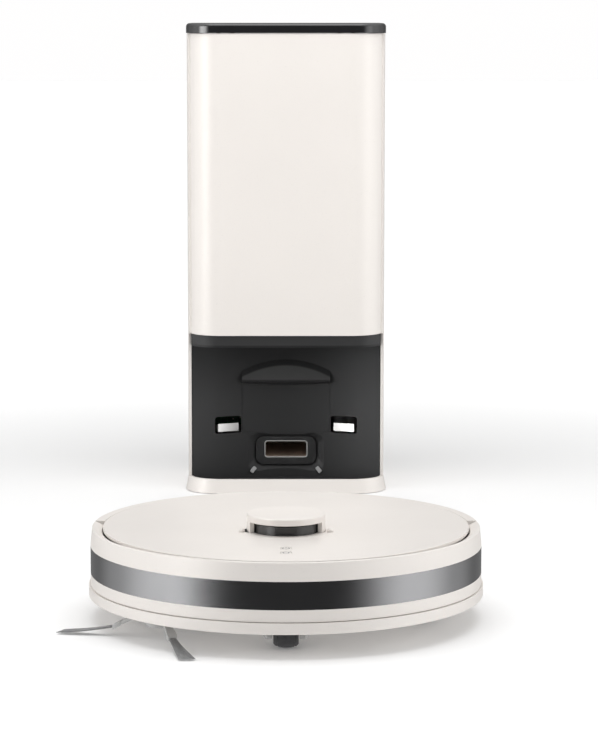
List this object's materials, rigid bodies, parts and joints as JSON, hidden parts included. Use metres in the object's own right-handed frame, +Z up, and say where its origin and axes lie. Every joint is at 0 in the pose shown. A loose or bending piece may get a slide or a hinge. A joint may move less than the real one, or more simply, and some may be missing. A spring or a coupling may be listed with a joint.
{
  "type": "robot vacuum",
  "caption": "Round laser-guided robot vacuum standing in front of its tall self-emptying, charging dock tower.",
  "frame": {"origin": "on the floor, at the centre of the dock's underside", "axes": "+Z up; the dock's front faces -Y and the robot stands ahead of it on the centre line; +X is to the right when facing the dock's front"},
  "size_m": [0.3742, 0.9918, 0.5225],
  "materials": {
    "white_shell": "satin, warm white moulded plastic",
    "black_gloss": "polished",
    "black_satin": "fine spark-eroded satin",
    "smoked_plastic": "polished, smoked",
    "rubber": "matt",
    "tyre_rubber": "matt, cross-treaded",
    "contact_metal": "nickel plated, brushed",
    "steel": "bright",
    "grey_plastic": "satin",
    "bristle": "nylon filaments",
    "roller_rubber": "matt",
    "inner_plastic": "satin",
    "light_inner_plastic": "satin",
    "motor_can": "zinc plated",
    "board_green": "solder mask",
    "battery_wrap": "shrink wrap",
    "bag_paper": "non-woven",
    "collar_card": "pressed card",
    "filter_paper": "pleated",
    "key_white": null
  },
  "bodies": {
    "dock": {"dock_plinth": "white_shell", "dock_feet": "rubber", "dock_rear_shell": "white_shell", "dock_front_cover": "white_shell", "dock_recess_panel": "black_satin", "dust_port_seal": "rubber", "dust_duct": "inner_plastic", "bag_chamber": "light_inner_plastic", "bag_collar": "collar_card", "dust_bag": "bag_paper", "dock_prefilter": "filter_paper", "dock_fan_housing": "inner_plastic", "dock_fan_motor": "motor_can", "dock_circuit_board": "board_green", "power_inlet": "inner_plastic", "exhaust_grille": "white_shell", "dock_lid_hinge_pins": "steel"},
    "dock_lid": {"dock_lid": "black_gloss"},
    "dock_fan": {"dock_fan_impeller": "inner_plastic"},
    "left_contact": {"left_charge_contact": "contact_metal"},
    "right_contact": {"right_charge_contact": "contact_metal"},
    "robot": {"robot_base": "white_shell", "robot_shell": "white_shell", "robot_rear_band": "black_gloss", "robot_charge_pads": "contact_metal", "top_cover": "white_shell", "lidar_base": "inner_plastic", "lidar_belt": "rubber", "control_board": "board_green", "battery_pack": "battery_wrap", "side_brush_motor": "motor_can", "brush_guard": "grey_plastic", "robot_fan_housing": "inner_plastic", "robot_screws": "steel", "bumper_springs": "steel", "cliff_sensors": "smoked_plastic"},
    "bumper": {"bumper": "white_shell", "bumper_band": "black_gloss"},
    "turret": {"turret_cap": "white_shell"},
    "lidar": {"lidar_head": "smoked_plastic"},
    "belt_pulley": {"lidar_pulley": "steel"},
    "power_key": {"power_button": "key_white"},
    "home_key": {"home_button": "key_white"},
    "caster_swivel": {"caster_holder": "grey_plastic", "caster_axle": "steel"},
    "caster_roller": {"caster_wheel": "rubber"},
    "side_brush": {"side_brush_hub": "grey_plastic", "side_brush_bristles": "bristle"},
    "left_arm": {"left_wheel_arm": "inner_plastic"},
    "left_wheel": {"left_wheel_hub": "inner_plastic", "left_tyre": "tyre_rubber"},
    "right_arm": {"right_wheel_arm": "inner_plastic"},
    "right_wheel": {"right_wheel_hub": "inner_plastic", "right_tyre": "tyre_rubber"},
    "roller_brush": {"main_brush": "roller_rubber"},
    "bin": {"dustbin": "smoked_plastic", "bin_filter": "filter_paper"},
    "bin_button": {"bin_latch": "inner_plastic"},
    "bin_flap": {"bin_outlet_door": "inner_plastic"},
    "robot_fan": {"robot_fan_impeller": "inner_plastic"}
  },
  "joints": [
    {"name": "lid_hinge", "type": "hinge", "parent": "dock", "child": "dock_lid", "pos_m": [0, 0.0875, 0.514], "axis": [-1, 0, 0], "range_deg": [0, 85]},
    {"name": "dock_fan_spin", "type": "hinge", "parent": "dock", "child": "dock_fan", "pos_m": [0.06, 0.032, 0.13], "axis": [0, 0, 1], "continuous": true},
    {"name": "left_contact_press", "type": "slide", "parent": "dock", "child": "left_contact", "axis": [-0.3756, 0.9268, 0], "range_m": [0, 0.002], "stiffness_N_per_m": 250, "springref_m": -0.0005},
    {"name": "right_contact_press", "type": "slide", "parent": "dock", "child": "right_contact", "axis": [0.3756, 0.9268, 0], "range_m": [0, 0.002], "stiffness_N_per_m": 250, "springref_m": -0.0005},
    {"name": "robot_drive", "type": "slide", "parent": "dock", "child": "robot", "axis": [0, -1, 0], "range_m": [-0.519, 0]},
    {"name": "bumper_press", "type": "slide", "parent": "robot", "child": "bumper", "axis": [0, 1, 0], "range_m": [0, 0.002], "stiffness_N_per_m": 900, "springref_m": -0.001, "deforming": ["bumper_springs"]},
    {"name": "turret_press", "type": "slide", "parent": "robot", "child": "turret", "axis": [0, 0, -1], "range_m": [0, 0.0012], "stiffness_N_per_m": 1500, "springref_m": -0.001},
    {"name": "lidar_spin", "type": "hinge", "parent": "robot", "child": "lidar", "pos_m": [0, -0.7495, 0.08], "axis": [0, 0, 1], "continuous": true},
    {"name": "pulley_spin", "type": "hinge", "parent": "robot", "child": "belt_pulley", "pos_m": [0, -0.7895, 0.064], "axis": [0, 0, 1], "continuous": true},
    {"name": "power_press", "type": "slide", "parent": "robot", "child": "power_key", "axis": [0, 0, -1], "range_m": [0, 0.0005], "stiffness_N_per_m": 500, "springref_m": -0.0005},
    {"name": "home_press", "type": "slide", "parent": "robot", "child": "home_key", "axis": [0, 0, -1], "range_m": [0, 0.0005], "stiffness_N_per_m": 500, "springref_m": -0.0005},
    {"name": "caster_turn", "type": "hinge", "parent": "robot", "child": "caster_swivel", "pos_m": [0, -0.84, 0.03], "axis": [0, 0, 1], "continuous": true},
    {"name": "caster_roll", "type": "hinge", "parent": "caster_swivel", "child": "caster_roller", "pos_m": [0, -0.846, 0.015], "axis": [1, 0, 0], "continuous": true},
    {"name": "side_brush_spin", "type": "hinge", "parent": "robot", "child": "side_brush", "pos_m": [-0.108, -0.811, 0.018], "axis": [0, 0, 1], "continuous": true},
    {"name": "left_suspension", "type": "hinge", "parent": "robot", "child": "left_arm", "pos_m": [-0.103, -0.749, 0.044], "axis": [1, 0, 0], "range_deg": [-20, 0], "stiffness_Nm_per_rad": 0.5, "springref_deg": -28.65},
    {"name": "left_wheel_spin", "type": "hinge", "parent": "left_arm", "child": "left_wheel", "pos_m": [-0.117, -0.701, 0.035], "axis": [1, 0, 0], "continuous": true},
    {"name": "right_suspension", "type": "hinge", "parent": "robot", "child": "right_arm", "pos_m": [0.103, -0.749, 0.044], "axis": [1, 0, 0], "range_deg": [-20, 0], "stiffness_Nm_per_rad": 0.5, "springref_deg": -28.65},
    {"name": "right_wheel_spin", "type": "hinge", "parent": "right_arm", "child": "right_wheel", "pos_m": [0.117, -0.701, 0.035], "axis": [1, 0, 0], "continuous": true},
    {"name": "main_brush_spin", "type": "hinge", "parent": "robot", "child": "roller_brush", "pos_m": [0, -0.676, 0.026], "axis": [1, 0, 0], "continuous": true},
    {"name": "bin_pull", "type": "slide", "parent": "robot", "child": "bin", "axis": [0, 1, 0], "range_m": [0, 0.095]},
    {"name": "bin_button_press", "type": "slide", "parent": "bin", "child": "bin_button", "axis": [0, -1, 0], "range_m": [0, 0.0015], "stiffness_N_per_m": 600, "springref_m": -0.0005},
    {"name": "bin_flap_swing", "type": "hinge", "parent": "bin", "child": "bin_flap", "pos_m": [0, -0.5596, 0.0535], "axis": [-1, 0, 0], "range_deg": [0, 60]},
    {"name": "robot_fan_spin", "type": "hinge", "parent": "robot", "child": "robot_fan", "pos_m": [0.088, -0.613, 0.05], "axis": [0, 0, 1], "continuous": true}
  ],
  "couplings": [
    {"joint": "pulley_spin", "follows": "lidar_spin", "ratio": 8.25}
  ]
}
